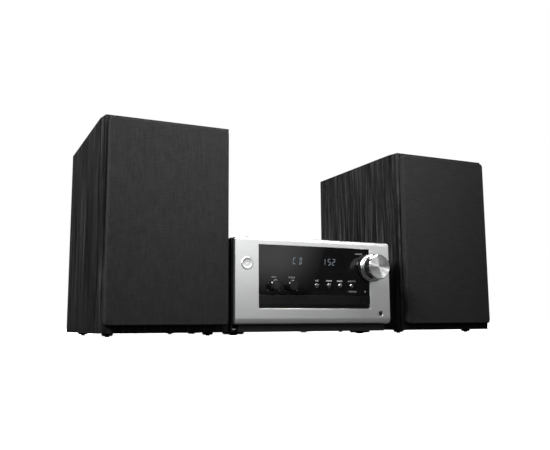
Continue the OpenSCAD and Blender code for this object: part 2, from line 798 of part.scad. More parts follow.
module woofer_frame(side) {
    color("dimgray") in_speaker(side) difference() {
        turned(0, woofer_z) {
            ring2d(53.8, 65, 0.4, 3.1);
            polygon([[55.6, 1], [55.6, 6], [34.5, 44], [34.5, 45.5], [31, 45.5], [31, 39], [30, 39],
                     [30, 37], [35.5, 37], [53.8, 5], [53.8, 1]]);
            ring2d(14.8, 38, 45, 50);
            ring2d(20, 41, 50, 66);
            ring2d(0, 38, 66, 71);
            ring2d(0, 11.8, 45, 66.5);
        }
        for (a = [0 : 60 : 300])
            translate([0, 0, woofer_z]) rotate([0, a + 30, 0]) block([36, 9, -12], [60, 33, 12]);
        for (a = [0 : 90 : 270])
            translate([0, 0, woofer_z]) rotate([0, a + 45, 0]) bar_y(60.5, 0, 0, 4, 2.2);
    }
}

module woofer_cone(side) {
    color([0.2, 0.2, 0.2]) in_speaker(side) turned(0, woofer_z) {
        polygon([[46, 0.4], [43.6, 0.4], [43.4, 1.4], [12.6, 25], [12.6, 56], [13.6, 56], [13.6, 26.4],
                 [44.4, 2.2], [46, 1.4]]);
        // Dust cap
        difference() {
            intersection() {
                translate([0, 33]) circle(r = 18, $fn = fine);
                square([13, 26]);
            }
            translate([0, 33.8]) circle(r = 17.6, $fn = fine);
        }
    }
}

module woofer_suspension(side) {
    roll_r = 50;
    color("black") in_speaker(side) {
        turned(0, woofer_z) {
            difference() {
                translate([roll_r, 0.4]) circle(r = 4.4, $fn = fine);
                translate([roll_r, 0.4]) circle(r = 3.7, $fn = fine);
                translate([roll_r - 6, 0.4]) square([12, 6]);
            }
            ring2d(44, 46.3, -0.3, 0.4);
            ring2d(53.7, 58, -0.3, 0.4);
        }
        // Spider around the voice coil
        turned(0, woofer_z) polygon([
            [13.8, 35.6], [17, 36.6], [20, 35.6], [23, 36.6], [26, 35.6], [29, 36.4], [33, 36.4],
            [33, 37], [29, 37], [26, 36.2], [23, 37.2], [20, 36.2], [17, 37.2], [13.8, 36.2]
        ]);
    }
}

module tweeters(side) {
    color("dimgray") in_speaker(side) {
        turned(tweeter_x, tweeter_z) polygon([
            [0, 6], [3, 6.4], [6, 8], [7, 10], [22, 2.2], [24, 1], [26, 2], [28, 0.4], [34, 0.4],
            [34, 3.1], [25.4, 3.1], [25.4, 16], [20, 18], [20, 30], [0, 30]
        ]);
        turned(super_x, tweeter_z) polygon([
            [0, 1.6], [3, 1.9], [5.4, 3], [6, 4], [8, 4], [11, 0.4], [16, 0.4], [16, 3.1],
            [12.2, 3.1], [12.2, 16], [0, 16]
        ]);
    }
}

module port_tube(side) {
    color([0.08, 0.08, 0.08]) in_speaker(side) turned(0, port_z) polygon([
        [port_r, 118], [port_r, spk_d - 4], [port_r + 1, spk_d - 1], [port_r + 4, spk_d + 1.5],
        [port_r + 5.5, spk_d + 2], [port_r + 8, spk_d + 1.5], [port_r + 8, spk_d],
        [port_r + 2, spk_d], [port_r + 2, 118]
    ]);
}

module terminal_cup(side) {
    y1 = spk_d + 2;
    floor_y = spk_d - 13;
    color([0.1, 0.1, 0.1]) in_speaker(side) difference() {
        union() {
            translate([0, 0, cup_z]) upright(spk_d, 2) round_rect(70, 56, 4);
            block([-25.6, floor_y - 2.5, cup_z - 19.6], [25.6, spk_d + 0.5, cup_z + 19.6]);
            for (sx = [-1, 1], sz = [-1, 1])
                bar_y(sx * 20, cup_z + sz * 14, floor_y - 12, floor_y, 2);
            block([-30, floor_y - 13.6, cup_z - 24], [30, floor_y - 12, cup_z + 24]);
            // Crossover parts on the board
            bar_y(-16, cup_z - 10, floor_y - 27, floor_y - 13, 10);
            bar_y(14, cup_z - 12, floor_y - 31, floor_y - 13, 6);
            block([6, floor_y - 20, cup_z + 6], [24, floor_y - 13, cup_z + 20]);
        }
        block([-23.6, floor_y, cup_z - 17.6], [23.6, y1 + 1, cup_z + 17.6]);
        bar_y(-16, cup_z - 10, floor_y - 28, floor_y - 16, 5);
        bar_y(0, cup_z, floor_y - 4, floor_y + 1, lead_r);
        bar_y(0, cup_z, floor_y - 15, floor_y - 11, 4);
        for (sx = [-1, 1], sz = [-1, 1])
            bar_y(sx * 31, cup_z + sz * 24, spk_d - 1, y1 + 1, 1.8);
    }
}

module speaker_feet(side) {
    color("black") in_speaker(side)
        for (sx = [-1, 1], y = [30, spk_d - 26])
            translate([sx * (spk_w / 2 - 17), y, 0]) rotate_extrude($fn = fine) {
                square([2.5, foot_h]);
                translate([0, 1.2]) square([5.4, foot_h - 1.2]);
                translate([0, 2]) square([6.2, foot_h - 2]);
            }
}

// ---------- One line for each node ----------

bottom_chassis();
top_cover();
rear_panel();
front_panel();
front_frame();
display_window();
display_module();
main_feet();
case_screws();
front_board();
headphone_jack();
cd_loader_frame();
traverse_frame();
loading_motor();
motor_pinion();
tray_gear();
cd_tray();
tray_door();
turntable();
laser_pickup();
disc_clamper();
main_board();
power_board();
heatsink();
ac_inlet();
input_sockets();
speaker_sockets();
volume_encoder();
tone_controls();
power_button();
volume_knob();
bass_knob();
treble_knob();
play_button();
skip_back_button();
skip_forward_button();
selector_button();
eject_button();
cabinet(-1);  // left_cabinet
baffle(-1);  // left_baffle
grille_frame(-1);  // left_grille_frame
grille_cloth(-1);  // left_grille_cloth
woofer_frame(-1);  // left_woofer_frame
woofer_cone(-1);  // left_woofer_cone
woofer_suspension(-1);  // left_woofer_suspension
tweeters(-1);  // left_tweeters
port_tube(-1);  // left_port_tube
terminal_cup(-1);  // left_terminal_cup
speaker_feet(-1);  // left_feet
cabinet(1);  // right_cabinet
baffle(1);  // right_baffle
grille_frame(1);  // right_grille_frame
grille_cloth(1);  // right_grille_cloth
woofer_frame(1);  // right_woofer_frame
woofer_cone(1);  // right_woofer_cone
woofer_suspension(1);  // right_woofer_suspension
tweeters(1);  // right_tweeters
port_tube(1);  // right_port_tube
terminal_cup(1);  // right_terminal_cup
speaker_feet(1);  // right_feet
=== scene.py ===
import json
import math

import bmesh
import bpy
from mathutils import Matrix, Vector

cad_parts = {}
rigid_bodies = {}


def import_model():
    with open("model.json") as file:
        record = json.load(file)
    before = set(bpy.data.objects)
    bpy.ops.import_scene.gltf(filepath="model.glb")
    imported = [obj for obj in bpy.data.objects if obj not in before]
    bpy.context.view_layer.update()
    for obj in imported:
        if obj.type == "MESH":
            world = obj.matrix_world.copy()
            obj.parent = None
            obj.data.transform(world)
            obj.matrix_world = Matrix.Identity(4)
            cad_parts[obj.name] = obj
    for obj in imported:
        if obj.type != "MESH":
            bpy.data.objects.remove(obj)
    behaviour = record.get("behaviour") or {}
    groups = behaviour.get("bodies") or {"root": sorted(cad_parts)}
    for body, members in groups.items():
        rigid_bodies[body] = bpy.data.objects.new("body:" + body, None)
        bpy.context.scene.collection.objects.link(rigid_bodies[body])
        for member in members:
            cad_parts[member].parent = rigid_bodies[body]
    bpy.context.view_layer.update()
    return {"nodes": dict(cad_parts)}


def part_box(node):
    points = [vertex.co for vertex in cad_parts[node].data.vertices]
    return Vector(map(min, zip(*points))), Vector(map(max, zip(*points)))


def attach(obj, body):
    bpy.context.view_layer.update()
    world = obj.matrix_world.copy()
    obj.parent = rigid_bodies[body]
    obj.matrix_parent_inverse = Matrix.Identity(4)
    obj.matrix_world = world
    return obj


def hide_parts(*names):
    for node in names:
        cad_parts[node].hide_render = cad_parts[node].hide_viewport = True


for leftover in list(bpy.data.objects):
    bpy.data.objects.remove(leftover)

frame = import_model()
NODES = frame["nodes"]
MM = 0.001
SIDES = ("left", "right")
KEYS = ("play_button", "skip_back_button", "skip_forward_button", "selector_button")


# ---------- Places, all from the frame ----------

def centre(node):
    low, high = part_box(node)
    return (low + high) / 2


WINDOW_LOW, WINDOW_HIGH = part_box("display_window")
PRINT_Y = WINDOW_LOW.y - 0.03 * MM
PRINT_THICK = 0.02 * MM
VOLUME = centre("volume_knob")
REAR_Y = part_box("rear_panel")[1].y


# ---------- Shader helpers ----------

class Shader:
    """One material's node tree, with short ways to add what these materials use."""

    def __init__(self, name, roughness=0.5, metallic=0.0, specular=0.5):
        self.material = bpy.data.materials.new(name)
        self.material.use_nodes = True
        self.nodes = self.material.node_tree.nodes
        self.links = self.material.node_tree.links
        self.surface = self.nodes["Principled BSDF"]
        self.set("Roughness", roughness)
        self.set("Metallic", metallic)
        self.set("Specular IOR Level", specular)
        self.place = self.nodes.new("ShaderNodeTexCoord").outputs["Object"]

    def set(self, socket, value):
        self.surface.inputs[socket].default_value = value

    def feed(self, socket, output):
        self.links.new(output, self.surface.inputs[socket])

    def stretch(self, scale, vector=None):
        """The place with each axis multiplied by scale, in repeats to the metre."""
        node = self.nodes.new("ShaderNodeVectorMath")
        node.operation = "MULTIPLY"
        self.links.new(vector or self.place, node.inputs[0])
        node.inputs[1].default_value = scale
        return node.outputs[0]

    def noise(self, vector, detail=3.0, rough=0.55, distortion=0.0):
        node = self.nodes.new("ShaderNodeTexNoise")
        self.links.new(vector, node.inputs["Vector"])
        node.inputs["Scale"].default_value = 1.0
        node.inputs["Detail"].default_value = detail
        node.inputs["Roughness"].default_value = rough
        node.inputs["Distortion"].default_value = distortion
        return node.outputs["Fac"]

    def speckle(self, vector):
        node = self.nodes.new("ShaderNodeTexVoronoi")
        self.links.new(vector, node.inputs["Vector"])
        node.inputs["Scale"].default_value = 1.0
        return node.outputs["Distance"]

    def maths(self, operation, first, second=0.0, third=0.0):
        node = self.nodes.new("ShaderNodeMath")
        node.operation = operation
        for socket, value in zip(node.inputs, (first, second, third)):
            if isinstance(value, (int, float)):
                socket.default_value = value
            else:
                self.links.new(value, socket)
        return node.outputs[0]

    def ramp(self, factor, stops):
        """Colours by factor. A stop is (position, grey) or (position, (r, g, b))."""
        node = self.nodes.new("ShaderNodeValToRGB")
        elements = node.color_ramp.elements
        while len(elements) < len(stops):
            elements.new(0.5)
        for element, (position, colour) in zip(elements, stops):
            shade = (colour,) * 3 if isinstance(colour, float) else colour
            element.position = position
            element.color = (*shade, 1.0)
        self.links.new(factor, node.inputs["Fac"])
        return node.outputs["Color"]

    def span(self, factor, low, high):
        """The factor's 0 to 1 spread over low to high."""
        node = self.nodes.new("ShaderNodeMapRange")
        self.links.new(factor, node.inputs["Value"])
        node.inputs["To Min"].default_value = low
        node.inputs["To Max"].default_value = high
        return node.outputs["Result"]

    def smooth(self, factor, start, stop):
        """0 below start and 1 above stop, with a soft rise between."""
        node = self.nodes.new("ShaderNodeMapRange")
        node.interpolation_type = "SMOOTHSTEP"
        self.links.new(factor, node.inputs["Value"])
        node.inputs["From Min"].default_value = start
        node.inputs["From Max"].default_value = stop
        return node.outputs["Result"]

    def relief(self, height, depth, strength=1.0, edge=0.0):
        """Bump of that depth in metres, over edges softened by edge metres."""
        bump = self.nodes.new("ShaderNodeBump")
        bump.inputs["Strength"].default_value = strength
        bump.inputs["Distance"].default_value = depth
        self.links.new(height, bump.inputs["Height"])
        if edge:
            self.links.new(self.soft_edge(edge), bump.inputs["Normal"])
        self.feed("Normal", bump.outputs["Normal"])

    def soft_edge(self, radius):
        bevel = self.nodes.new("ShaderNodeBevel")
        bevel.samples = 4
        bevel.inputs["Radius"].default_value = radius
        return bevel.outputs["Normal"]


# ---------- Materials ----------

def black_ash():
    """Black-stained ash veneer: streaks and pores up the sides, across the top, with a cathedral figure."""
    s = Shader("black_ash", roughness=0.5, specular=0.5)
    s.set("IOR", 1.14)
    xyz = s.nodes.new("ShaderNodeSeparateXYZ")
    s.links.new(s.place, xyz.inputs[0])
    x, y, z = xyz.outputs
    facing = s.nodes.new("ShaderNodeSeparateXYZ")
    s.links.new(s.nodes.new("ShaderNodeNewGeometry").outputs["Normal"], facing.inputs[0])
    level = s.maths("GREATER_THAN", s.maths("ABSOLUTE", facing.outputs[2]), 0.7)
    upright = s.maths("SUBTRACT", 1.0, level)
    across = s.maths("ADD", s.maths("MULTIPLY", x, upright), y)
    along = s.maths("ADD", s.maths("MULTIPLY", z, upright), s.maths("MULTIPLY", x, level))
    grain = s.nodes.new("ShaderNodeCombineXYZ")
    s.links.new(across, grain.inputs[0])
    s.links.new(along, grain.inputs[1])
    plane = grain.outputs[0]

    drift = s.span(s.noise(s.stretch((16, 7, 1), plane), detail=2), -0.007, 0.007)
    bent = s.nodes.new("ShaderNodeCombineXYZ")
    s.links.new(s.maths("ADD", across, drift), bent.inputs[0])
    s.links.new(along, bent.inputs[1])
    flow = bent.outputs[0]
    middle = s.maths("ADD", s.maths("ADD", across, 0.07), s.maths("MULTIPLY", drift, 2.0))
    arch = s.maths("MULTIPLY", s.maths("MULTIPLY", middle, middle), 3800)
    year = s.maths("FRACT", s.maths("MULTIPLY_ADD", along, 17.0, arch))
    late = s.maths("POWER", year, 3.0)
    broad = s.noise(s.stretch((330, 5, 1), flow), detail=3, rough=0.6)
    streaks = s.noise(s.stretch((900, 13, 1), flow), detail=3, rough=0.7)
    pores = s.noise(s.stretch((2300, 55, 1), flow), detail=2, rough=0.6)
    tone = s.maths("MULTIPLY_ADD", broad, 0.7, s.maths("MULTIPLY", streaks, 0.38))
    tone = s.maths("MULTIPLY_ADD", late, 0.12, tone)
    tone = s.maths("SUBTRACT", tone, s.maths("MULTIPLY", s.maths("LESS_THAN", pores, 0.4), 0.1))
    s.feed("Base Color", s.ramp(tone, [
        (0.42, 0.0003), (0.52, 0.0008), (0.58, 0.0035), (0.68, 0.016), (0.85, 0.036)]))
    s.feed("Roughness", s.span(streaks, 0.4, 0.62))
    s.relief(tone, 0.0003, 0.8, edge=0.0007)
    return s.material


def grille_weave():
    """Charcoal speaker cloth: a plain weave of round threads, a little uneven."""
    s = Shader("grille_weave", roughness=0.95, specular=0.3)
    s.set("IOR", 1.1)
    pitch = 0.00095
    turn = 2 * math.pi / pitch
    xyz = s.nodes.new("ShaderNodeSeparateXYZ")
    s.links.new(s.place, xyz.inputs[0])
    x, y, z = xyz.outputs
    over = s.maths("SINE", s.maths("MULTIPLY", s.maths("ADD", x, y), turn))
    up = s.maths("SINE", s.maths("MULTIPLY", z, turn))
    weave = s.maths("MULTIPLY", over, up)
    slub = s.noise(s.stretch((1100, 1100, 90)), detail=2)
    slub_across = s.noise(s.stretch((90, 90, 1100)), detail=2)
    uneven = s.maths("MULTIPLY", s.maths("ADD", slub, slub_across), 0.5)
    tone = s.maths("MULTIPLY_ADD", weave, 0.16, uneven)
    s.feed("Base Color", s.ramp(tone, [
        (0.25, (0.004, 0.004, 0.0042)), (0.5, (0.0075, 0.0075, 0.0078)), (0.75, (0.0125, 0.0125, 0.0129))]))
    s.set("Sheen Weight", 0.008)
    s.set("Sheen Roughness", 0.5)
    s.relief(weave, 0.00012, 0.7)
    return s.material


def silver_fascia():
    """Bead-blasted, anodised aluminium."""
    s = Shader("silver_fascia", roughness=0.31, metallic=1.0)
    grain = s.noise(s.stretch((4200, 4200, 4200)), detail=2)
    drift = s.noise(s.stretch((9, 9, 9)), detail=2)
    s.feed("Base Color", s.ramp(s.maths("MULTIPLY_ADD", grain, 0.5, s.maths("MULTIPLY", drift, 0.5)), [
        (0.2, (0.74, 0.745, 0.75)), (0.8, (0.86, 0.865, 0.87))]))
    s.feed("Roughness", s.span(grain, 0.27, 0.35))
    s.relief(grain, 0.00003, 0.35, edge=0.0006)
    return s.material


def spun_silver(name, axis_x, axis_z):
    """Turned aluminium about an axis along Y: a ringed face that fans its gloss, and a smooth barrel."""
    s = Shader(name, roughness=0.3, metallic=1.0)
    xyz = s.nodes.new("ShaderNodeSeparateXYZ")
    s.links.new(s.place, xyz.inputs[0])
    off_x = s.maths("SUBTRACT", xyz.outputs[0], axis_x)
    off_z = s.maths("SUBTRACT", xyz.outputs[2], axis_z)
    squares = s.maths("ADD", s.maths("MULTIPLY", off_x, off_x), s.maths("MULTIPLY", off_z, off_z))
    radius = s.maths("SQRT", squares)
    rings = s.nodes.new("ShaderNodeCombineXYZ")
    s.links.new(radius, rings.inputs[0])
    s.links.new(xyz.outputs[1], rings.inputs[1])
    line = s.noise(s.stretch((5200, 5200, 1), rings.outputs[0]), detail=3, rough=0.7)
    s.feed("Base Color", s.ramp(line, [(0.25, (0.5, 0.503, 0.507)), (0.75, (0.62, 0.623, 0.627))]))
    facing = s.nodes.new("ShaderNodeSeparateXYZ")
    s.links.new(s.nodes.new("ShaderNodeNewGeometry").outputs["Normal"], facing.inputs[0])
    face = s.smooth(s.maths("ABSOLUTE", facing.outputs[1]), 0.8, 0.95)
    s.feed("Roughness", s.maths("MULTIPLY_ADD", face, 0.16, s.span(line, 0.12, 0.19)))
    s.feed("Anisotropic", s.maths("MULTIPLY", face, 0.93))
    s.set("Anisotropic Rotation", 0.25)
    tangent = s.nodes.new("ShaderNodeTangent")
    tangent.direction_type = "RADIAL"
    tangent.axis = "Y"
    s.feed("Tangent", tangent.outputs[0])
    s.relief(line, 0.00001, 0.2, edge=0.0003)
    return s.material


def gloss_window():
    """Piano-black acrylic with a trace of haze."""
    s = Shader("gloss_window", roughness=0.03, specular=0.5)
    haze = s.noise(s.stretch((60, 60, 60)), detail=3)
    s.feed("Base Color", s.ramp(haze, [(0.3, (0.0008, 0.0008, 0.0009)), (0.8, (0.0016, 0.0016, 0.0018))]))
    s.feed("Roughness", s.span(haze, 0.015, 0.04))
    s.relief(s.noise(s.stretch((7, 7, 7)), detail=1), 0.00002, 0.3, edge=0.0002)
    return s.material


def gloss_black():
    """Glossy moulded keys and knobs, with faint rub marks."""
    s = Shader("gloss_black", roughness=0.16, specular=0.5)
    rub = s.noise(s.stretch((700, 700, 700)), detail=3)
    s.feed("Base Color", s.ramp(rub, [(0.3, (0.0012, 0.0012, 0.0013)), (0.8, (0.0028, 0.0028, 0.003))]))
    s.feed("Roughness", s.span(rub, 0.1, 0.24))
    s.relief(rub, 0.00001, 0.3, edge=0.00025)
    return s.material


def moulded(name, low, high, roughness=0.5, specular=0.5):
    """Moulded plastic with a spark-eroded grain, between two tones."""
    s = Shader(name, roughness=roughness, specular=specular)
    pits = s.noise(s.stretch((2500, 2500, 2500)), detail=2)
    drift = s.noise(s.stretch((25, 25, 25)), detail=2)
    tone = s.maths("MULTIPLY_ADD", pits, 0.6, s.maths("MULTIPLY", drift, 0.4))
    s.feed("Base Color", s.ramp(tone, [(0.3, low), (0.7, high)]))
    s.feed("Roughness", s.span(pits, roughness - 0.07, roughness + 0.09))
    s.relief(pits, 0.00004, 0.5, edge=0.0003)
    return s.material


def powder_coat():
    """The steel cover's satin black paint, with its fine orange peel."""
    s = Shader("powder_coat", roughness=0.42, specular=0.5)
    peel = s.speckle(s.stretch((1500, 1500, 1500)))
    drift = s.noise(s.stretch((12, 12, 12)), detail=3)
    s.feed("Base Color", s.ramp(drift, [(0.3, (0.011, 0.011, 0.012)), (0.75, (0.019, 0.019, 0.0205))]))
    s.feed("Roughness", s.span(peel, 0.36, 0.5))
    s.relief(peel, 0.00004, 0.45, edge=0.0005)
    return s.material


def rolled_steel(name="rolled_steel", tone=0.5):
    """Zinc-plated sheet steel: faint rolling lines and a patchy sheen."""
    s = Shader(name, roughness=0.38, metallic=1.0)
    lines = s.noise(s.stretch((1800, 60, 1800)), detail=2)
    spangle = s.speckle(s.stretch((140, 140, 140)))
    mixed = s.maths("MULTIPLY_ADD", lines, 0.6, s.maths("MULTIPLY", spangle, 0.4))
    s.feed("Base Color", s.ramp(mixed, [
        (0.2, (tone * 0.78, tone * 0.79, tone * 0.8)), (0.8, (tone * 1.12, tone * 1.13, tone * 1.14))]))
    s.feed("Roughness", s.span(lines, 0.3, 0.48))
    s.relief(lines, 0.00002, 0.4, edge=0.0002)
    return s.material


def black_chrome():
    """Dark polished plating with hairline marks."""
    s = Shader("black_chrome", roughness=0.12, metallic=1.0)
    marks = s.noise(s.stretch((3000, 300, 3000)), detail=3)
    s.feed("Base Color", s.ramp(marks, [(0.3, (0.14, 0.14, 0.145)), (0.7, (0.22, 0.22, 0.225))]))
    s.feed("Roughness", s.span(marks, 0.08, 0.18))
    s.relief(marks, 0.00001, 0.3, edge=0.0006)
    return s.material


def rubber():
    """Matt black rubber with a bloom of dust."""
    s = Shader("foot_rubber", roughness=0.85, specular=0.3)
    bloom = s.noise(s.stretch((160, 160, 160)), detail=4)
    s.feed("Base Color", s.ramp(bloom, [(0.35, (0.006, 0.006, 0.006)), (0.8, (0.018, 0.0175, 0.017))]))
    s.relief(s.noise(s.stretch((2500, 2500, 2500)), detail=2), 0.00004, 0.5)
    return s.material


def surround_rubber():
    """Butyl roll surround, smoother and glossier than the feet."""
    s = Shader("surround_rubber", roughness=0.5, specular=0.4)
    grain = s.noise(s.stretch((900, 900, 900)), detail=3)
    s.feed("Base Color", s.ramp(grain, [(0.3, (0.008, 0.008, 0.008)), (0.8, (0.02, 0.02, 0.02))]))
    s.feed("Roughness", s.span(grain, 0.42, 0.6))
    s.relief(grain, 0.00005, 0.4)
    return s.material


def cone_pulp():
    """Pressed paper with short fibres."""
    s = Shader("cone_pulp", roughness=0.85, specular=0.25)
    fibres = s.noise(s.stretch((1200, 500, 1200)), detail=5, rough=0.75, distortion=1.5)
    cloud = s.noise(s.stretch((90, 90, 90)), detail=3)
    tone = s.maths("MULTIPLY_ADD", fibres, 0.7, s.maths("MULTIPLY", cloud, 0.3))
    s.feed("Base Color", s.ramp(tone, [(0.3, (0.022, 0.021, 0.02)), (0.75, (0.075, 0.072, 0.068))]))
    s.relief(fibres, 0.00015, 0.7)
    return s.material


def circuit(name, board, track):
    """A circuit board: solder mask over square-cornered tracks, with glints of solder."""
    s = Shader(name, roughness=0.35, specular=0.5)
    brick = s.nodes.new("ShaderNodeTexBrick")
    s.links.new(s.stretch((260, 260, 260)), brick.inputs["Vector"])
    brick.inputs["Mortar Size"].default_value = 0.06
    brick.inputs["Scale"].default_value = 1.0
    blotch = s.noise(s.stretch((220, 220, 220)), detail=1)
    tracks = s.maths("MULTIPLY", brick.outputs["Fac"], s.maths("GREATER_THAN", blotch, 0.48))
    pads = s.maths("LESS_THAN", s.speckle(s.stretch((330, 330, 330))), 0.16)
    tone = s.maths("ADD", s.maths("MULTIPLY", tracks, 0.4), s.maths("MULTIPLY", pads, 0.6))
    s.feed("Base Color", s.ramp(tone, [(0.0, board), (0.4, track), (0.6, (0.55, 0.55, 0.54))]))
    s.feed("Roughness", s.span(pads, 0.42, 0.25))
    s.relief(tone, 0.00008, 0.5)
    return s.material


def smoked_display():
    """The display's smoked glass over a dark mesh of dots."""
    s = Shader("smoked_display", roughness=0.12, specular=0.5)
    mesh = s.speckle(s.stretch((1600, 1600, 1600)))
    s.feed("Base Color", s.ramp(mesh, [(0.1, (0.012, 0.016, 0.02)), (0.6, (0.03, 0.038, 0.045))]))
    s.relief(mesh, 0.00002, 0.3)
    return s.material


def ink(name, tone, glow=0.0):
    """Screen-printed ink, or a lit display segment. Glow on a display segment is its own light; glow on
    printed ink is painted light. Slightly uneven in the print.
    """
    s = Shader(name, roughness=0.6, specular=0.3)
    grain = s.noise(s.stretch((5000, 5000, 5000)), detail=1)
    dim = tuple(0.85 * c for c in tone)
    colour = s.ramp(grain, [(0.3, dim), (0.7, tone)])
    s.feed("Base Color", colour)
    if glow:
        s.feed("Emission Color", colour)
        s.set("Emission Strength", glow)
    return s.material


MATERIALS = {
    "ash": black_ash(),
    "cloth": grille_weave(),
    "fascia": silver_fascia(),
    "knob": spun_silver("spun_knob", VOLUME.x, VOLUME.z),
    "window": gloss_window(),
    "gloss": gloss_black(),
    "black": moulded("moulded_black", (0.008, 0.008, 0.0085), (0.016, 0.016, 0.017), 0.45),
    "plinth": moulded("matt_plinth", (0.0008, 0.0008, 0.0008), (0.002, 0.002, 0.0021), 0.6, specular=0.12),
    "grey": moulded("moulded_grey", (0.028, 0.028, 0.03), (0.05, 0.05, 0.053), 0.55),
    "white": moulded("moulded_white", (0.62, 0.61, 0.57), (0.78, 0.77, 0.73), 0.45),
    "paint": powder_coat(),
    "steel": rolled_steel(),
    "dark_steel": rolled_steel("black_zinc", 0.16),
    "bright_steel": rolled_steel("bright_plate", 0.72),
    "chrome": black_chrome(),
    "rubber": rubber(),
    "surround": surround_rubber(),
    "pulp": cone_pulp(),
    "green_board": circuit("green_board", (0.006, 0.055, 0.022), (0.012, 0.11, 0.045)),
    "tan_board": circuit("tan_board", (0.3, 0.19, 0.09), (0.36, 0.25, 0.13)),
    "display": smoked_display(),
    # The glow on these two printed inks is painted light: print that shines though it is no lamp.
    "print": ink("white_print_painted_glow", (0.14, 0.14, 0.143), glow=0.2),
    "legend": ink("grey_print_painted_glow", (0.11, 0.11, 0.113), glow=0.03),
    "segments": ink("lit_segments", (0.036, 0.043, 0.05), glow=4.2),
    "engraving": ink("engraving", (0.16, 0.16, 0.165)),
}

FINISHES = {
    "top_cover": "paint", "rear_panel": "paint", "bottom_chassis": "paint",
    "front_panel": "fascia", "front_frame": "plinth", "display_window": "window",
    "display_module": "display", "main_feet": "rubber", "case_screws": "dark_steel",
    "front_board": "green_board", "headphone_jack": "black", "cd_loader_frame": "grey",
    "traverse_frame": "steel", "loading_motor": "bright_steel", "motor_pinion": "white",
    "tray_gear": "white", "cd_tray": "black", "tray_door": "gloss", "turntable": "black",
    "laser_pickup": "grey", "disc_clamper": "white", "main_board": "green_board",
    "power_board": "tan_board", "heatsink": "bright_steel", "ac_inlet": "black",
    "input_sockets": "black", "speaker_sockets": "white", "volume_encoder": "bright_steel",
    "tone_controls": "bright_steel", "power_button": "fascia", "volume_knob": "knob",
    "bass_knob": "gloss", "treble_knob": "gloss", "eject_button": "gloss",
    "cabinet": "ash", "baffle": "ash", "grille_frame": "black", "grille_cloth": "cloth",
    "woofer_frame": "paint", "woofer_cone": "pulp", "woofer_suspension": "surround",
    "tweeters": "grey", "port_tube": "black", "terminal_cup": "black", "feet": "rubber",
}


def finish_nodes():
    for name, node in NODES.items():
        kind = name.split("_", 1)[1] if name.startswith(SIDES) else name
        node.data.materials.clear()
        node.data.materials.append(MATERIALS["chrome" if name in KEYS else FINISHES[kind]])


# ---------- Mesh helpers ----------

def piece(name, form, body, material):
    """A bmesh made into a piece that rides on a body."""
    mesh = bpy.data.meshes.new(name)
    form.to_mesh(mesh)
    form.free()
    made = bpy.data.objects.new(name, mesh)
    bpy.context.scene.collection.objects.link(made)
    made.data.materials.append(MATERIALS[material])
    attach(made, body)
    return made


def plate(form, outline, front, thickness):
    """Adds a flat plate, its outline in the XZ plane and its front at y = front."""
    face = form.faces.new([form.verts.new((x, front, z)) for x, z in outline])
    made = bmesh.ops.extrude_face_region(form, geom=[face])
    moved = [v for v in made["geom"] if isinstance(v, bmesh.types.BMVert)]
    bmesh.ops.translate(form, verts=moved, vec=(0, thickness, 0))


def stroke(form, start, end, width, front, thickness):
    """Adds a bar with pointed ends between two points in the XZ plane."""
    a, b = Vector(start), Vector(end)
    along = (b - a).normalized() * width / 2
    side = Vector((-along.y, along.x))
    outline = [a, a + along + side, b - along + side, b, b - along - side, a + along - side]
    plate(form, [(p.x, p.y) for p in outline], front, thickness)


def ring_arc(form, middle, radius, width, first, last, front, thickness, steps=24):
    """Adds an arc-shaped plate, its angles in degrees from the top, clockwise."""
    angles = [math.radians(first + (last - first) * i / steps) for i in range(steps + 1)]
    outer, inner = ([(middle[0] + r * math.sin(a), middle[1] + r * math.cos(a)) for a in angles]
                    for r in (radius + width / 2, radius - width / 2))
    for i in range(steps):
        plate(form, [outer[i], outer[i + 1], inner[i + 1], inner[i]], front, thickness)


def tidy_normals(form):
    bmesh.ops.recalc_face_normals(form, faces=form.faces[:])
    return form


# ---------- Grille cloth ----------

def rounded_outline(width, height, radius, steps=8):
    """Points round a rectangle with rounded corners, about its centre."""
    points = []
    corners = [(1, 1, 0), (-1, 1, 90), (-1, -1, 180), (1, -1, 270)]
    for sign_x, sign_z, start in corners:
        for i in range(steps + 1):
            a = math.radians(start + 90 * i / steps)
            points.append((sign_x * (width / 2 - radius) + radius * math.cos(a),
                           sign_z * (height / 2 - radius) + radius * math.sin(a)))
    return points


def grille_cloth(side):
    """The cloth stretched over the frame and wrapped round its edges."""
    node = f"{side}_grille_cloth"
    low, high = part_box(node)
    middle = (low + high) / 2
    width, depth, height = high - low
    edge = 1.6 * MM
    corner = 4.8 * MM
    bend_steps = 5
    form = bmesh.new()
    loops = []
    profile = [(0.0, high.y), (0.0, low.y + depth * 0.5)]
    for i in range(bend_steps + 1):
        a = math.radians(90 * i / bend_steps)
        profile.append((edge * (1 - math.cos(a)), low.y + edge * (1 - math.sin(a))))
    for inset, y in profile:
        outline = rounded_outline(width - 2 * inset, height - 2 * inset, corner - inset * 0.9)
        loops.append([form.verts.new((middle.x + x, y, middle.z + z)) for x, z in outline])
    for a, b in zip(loops, loops[1:]):
        for i in range(len(a)):
            j = (i + 1) % len(a)
            form.faces.new((a[i], a[j], b[j], b[i]))
    form.faces.new(loops[-1])
    bmesh.ops.recalc_face_normals(form, faces=form.faces[:])
    made = piece(f"{side}_grille_sheet", form, f"{side}_grille", "cloth")
    made.data.shade_smooth()
    made.data.set_sharp_from_angle(angle=math.radians(50))
    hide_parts(node)


# ---------- Display and printing ----------

